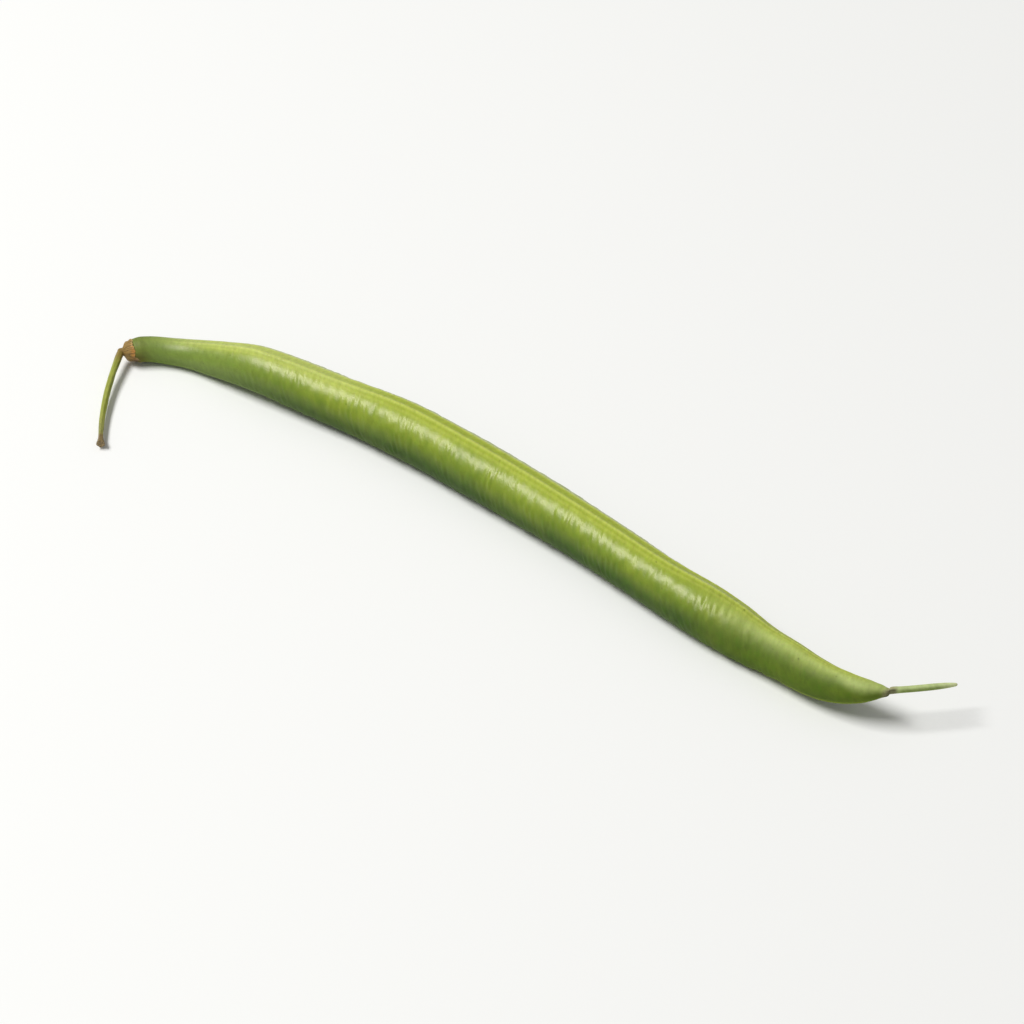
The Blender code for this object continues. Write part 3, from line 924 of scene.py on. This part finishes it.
def makeBeanStalk(look):
    material, tree, shader = newMaterial("beanStalk")
    place = addNode(tree, "ShaderNodeAttribute", {"attribute_name": "onStalk"}, {}).outputs["Vector"]
    layers = (  # mask and its colour, how much of what lies under it is covered
        ("rib", 0.6),
        ("byScar", 0.85),
        ("byKnob", 0.9),
        ("broken", 1.0),
        ("cut", 0.8),
    )
    mask = {
        name: addNode(tree, "ShaderNodeAttribute", {"attribute_name": name}, {}).outputs["Fac"]
        for name, _ in layers
    }
    alongStalk = addNode(tree, "ShaderNodeMapping", {}, {"Vector": place, "Scale": (0.8, 6.0, 6.0)})
    thread = addNode(
        tree, "ShaderNodeTexNoise", {}, {"Vector": alongStalk.outputs[0], "Scale": 1.2, "Detail": 3.0}
    )
    cork = addNode(tree, "ShaderNodeTexNoise", {}, {"Vector": place, "Scale": 3.5, "Detail": 3.0})
    colour = toLinear(look["body"])
    for name, cover in layers:
        share = addNode(tree, "ShaderNodeMath", {"operation": "MULTIPLY"}, {0: mask[name], 1: cover})
        colour = addNode(
            tree,
            "ShaderNodeMix",
            {"data_type": "RGBA"},
            {0: share.outputs[0], 6: colour, 7: toLinear(look[name])},
        ).outputs[2]
    # Threads along the stalk, giving way to coarser cork at the scar
    threadTone = addNode(
        tree,
        "ShaderNodeMapRange",
        {},
        {"Value": thread.outputs["Fac"], "From Min": 0.3, "From Max": 0.7, "To Min": 0.78, "To Max": 1.2},
    )
    corkTone = addNode(
        tree,
        "ShaderNodeMapRange",
        {},
        {"Value": cork.outputs["Fac"], "From Min": 0.35, "From Max": 0.65, "To Min": 0.7, "To Max": 1.15},
    )
    tone = addNode(
        tree,
        "ShaderNodeMix",
        {"data_type": "FLOAT"},
        {0: mask["byScar"], 2: threadTone.outputs[0], 3: corkTone.outputs[0]},
    )
    toned = addNode(
        tree,
        "ShaderNodeVectorMath",
        {"operation": "SCALE"},
        {0: colour, "Scale": tone.outputs[0]},
    )
    tree.links.new(toned.outputs[0], shader.inputs["Base Color"])
    shader.inputs["Roughness"].default_value = look["roughness"]
    bump = addNode(
        tree,
        "ShaderNodeBump",
        {},
        {"Strength": 0.5, "Distance": look["relief"] * mm, "Height": thread.outputs["Fac"]},
    )
    tree.links.new(bump.outputs[0], shader.inputs["Normal"])
    return material


stalkPoints, stalkFacts = stalkSurface(stalkShape, podMiddle + shift, podAhead)
addPiece("stalkStem", stalkPoints, stalkFacts, makeBeanStalk(beanStalk), "stalk")

# Studio: a pale paper floor, one large softbox and an even pale surround.
studio = {
    "floor": "#f1f1ef",
    "floorSize": 3.0,
    "surround": "#fdfdfb",
    "surroundStrength": 0.30,
    "softboxFrom": (-0.445, -0.315, 0.838),
    "softboxDistance": 1.3,
    "softboxSize": (0.74, 0.38),
    "softboxWatts": 16.5,
}


def makeStudio(look):
    half = look["floorSize"] / 2
    mesh = bpy.data.meshes.new("floor")
    corners = [(-half, -half, 0), (half, -half, 0), (half, half, 0), (-half, half, 0)]
    mesh.from_pydata(corners, [], [(0, 1, 2, 3)])
    material, _, shader = newMaterial("mattePaper")
    shader.inputs["Base Color"].default_value = toLinear(look["floor"])
    shader.inputs["Roughness"].default_value = 0.9
    mesh.materials.append(material)
    floor = bpy.data.objects.new("floor", mesh)
    bpy.context.scene.collection.objects.link(floor)

    world = bpy.data.worlds.new("surround")
    world.use_nodes = True
    world.node_tree.nodes["Background"].inputs["Color"].default_value = toLinear(look["surround"])
    world.node_tree.nodes["Background"].inputs["Strength"].default_value = look["surroundStrength"]
    bpy.context.scene.world = world

    lamp = bpy.data.lights.new("softbox", "AREA")
    lamp.shape = "RECTANGLE"
    lamp.size, lamp.size_y = look["softboxSize"]
    lamp.energy = look["softboxWatts"]
    softbox = bpy.data.objects.new("softbox", lamp)
    towards = Vector(look["softboxFrom"]).normalized()
    softbox.location = towards * look["softboxDistance"]
    softbox.rotation_euler = towards.to_track_quat("Z", "Y").to_euler()
    bpy.context.scene.collection.objects.link(softbox)


cameraPlace = {
    "azimuth": 36.8,
    "elevation": 42.0,
    "distance": 0.63,
    "lens": 160.0,
}


def makeCamera(place, points):
    # Aimed at the middle of what the camera sees of the points
    a, e = math.radians(place["azimuth"]), math.radians(place["elevation"])
    back = np.array([math.sin(a) * math.cos(e), -math.cos(a) * math.cos(e), math.sin(e)])
    right = np.array([math.cos(a), math.sin(a), 0.0])
    over = np.cross(back, right)
    spread = [points @ axis for axis in (right, over, back)]
    aim = sum((s.min() + s.max()) / 2 * axis for s, axis in zip(spread, (right, over, back)))
    lens = bpy.data.cameras.new("camera")
    lens.lens = place["lens"]
    lens.sensor_width = 36
    lens.clip_start, lens.clip_end = 0.01, 10
    camera = bpy.data.objects.new("camera", lens)
    camera.location = Vector(aim + back * place["distance"])
    camera.rotation_euler = Vector(back).to_track_quat("Z", "Y").to_euler()
    bpy.context.scene.collection.objects.link(camera)
    bpy.context.scene.camera = camera


makeStudio(studio)
beanPoints = np.concatenate([points.reshape(-1, 3) for points in (podPoints, calyxPoints, stalkPoints)])
makeCamera(cameraPlace, beanPoints * mm)
bpy.context.scene.view_settings.view_transform = "Standard"
print("studio and camera ready")
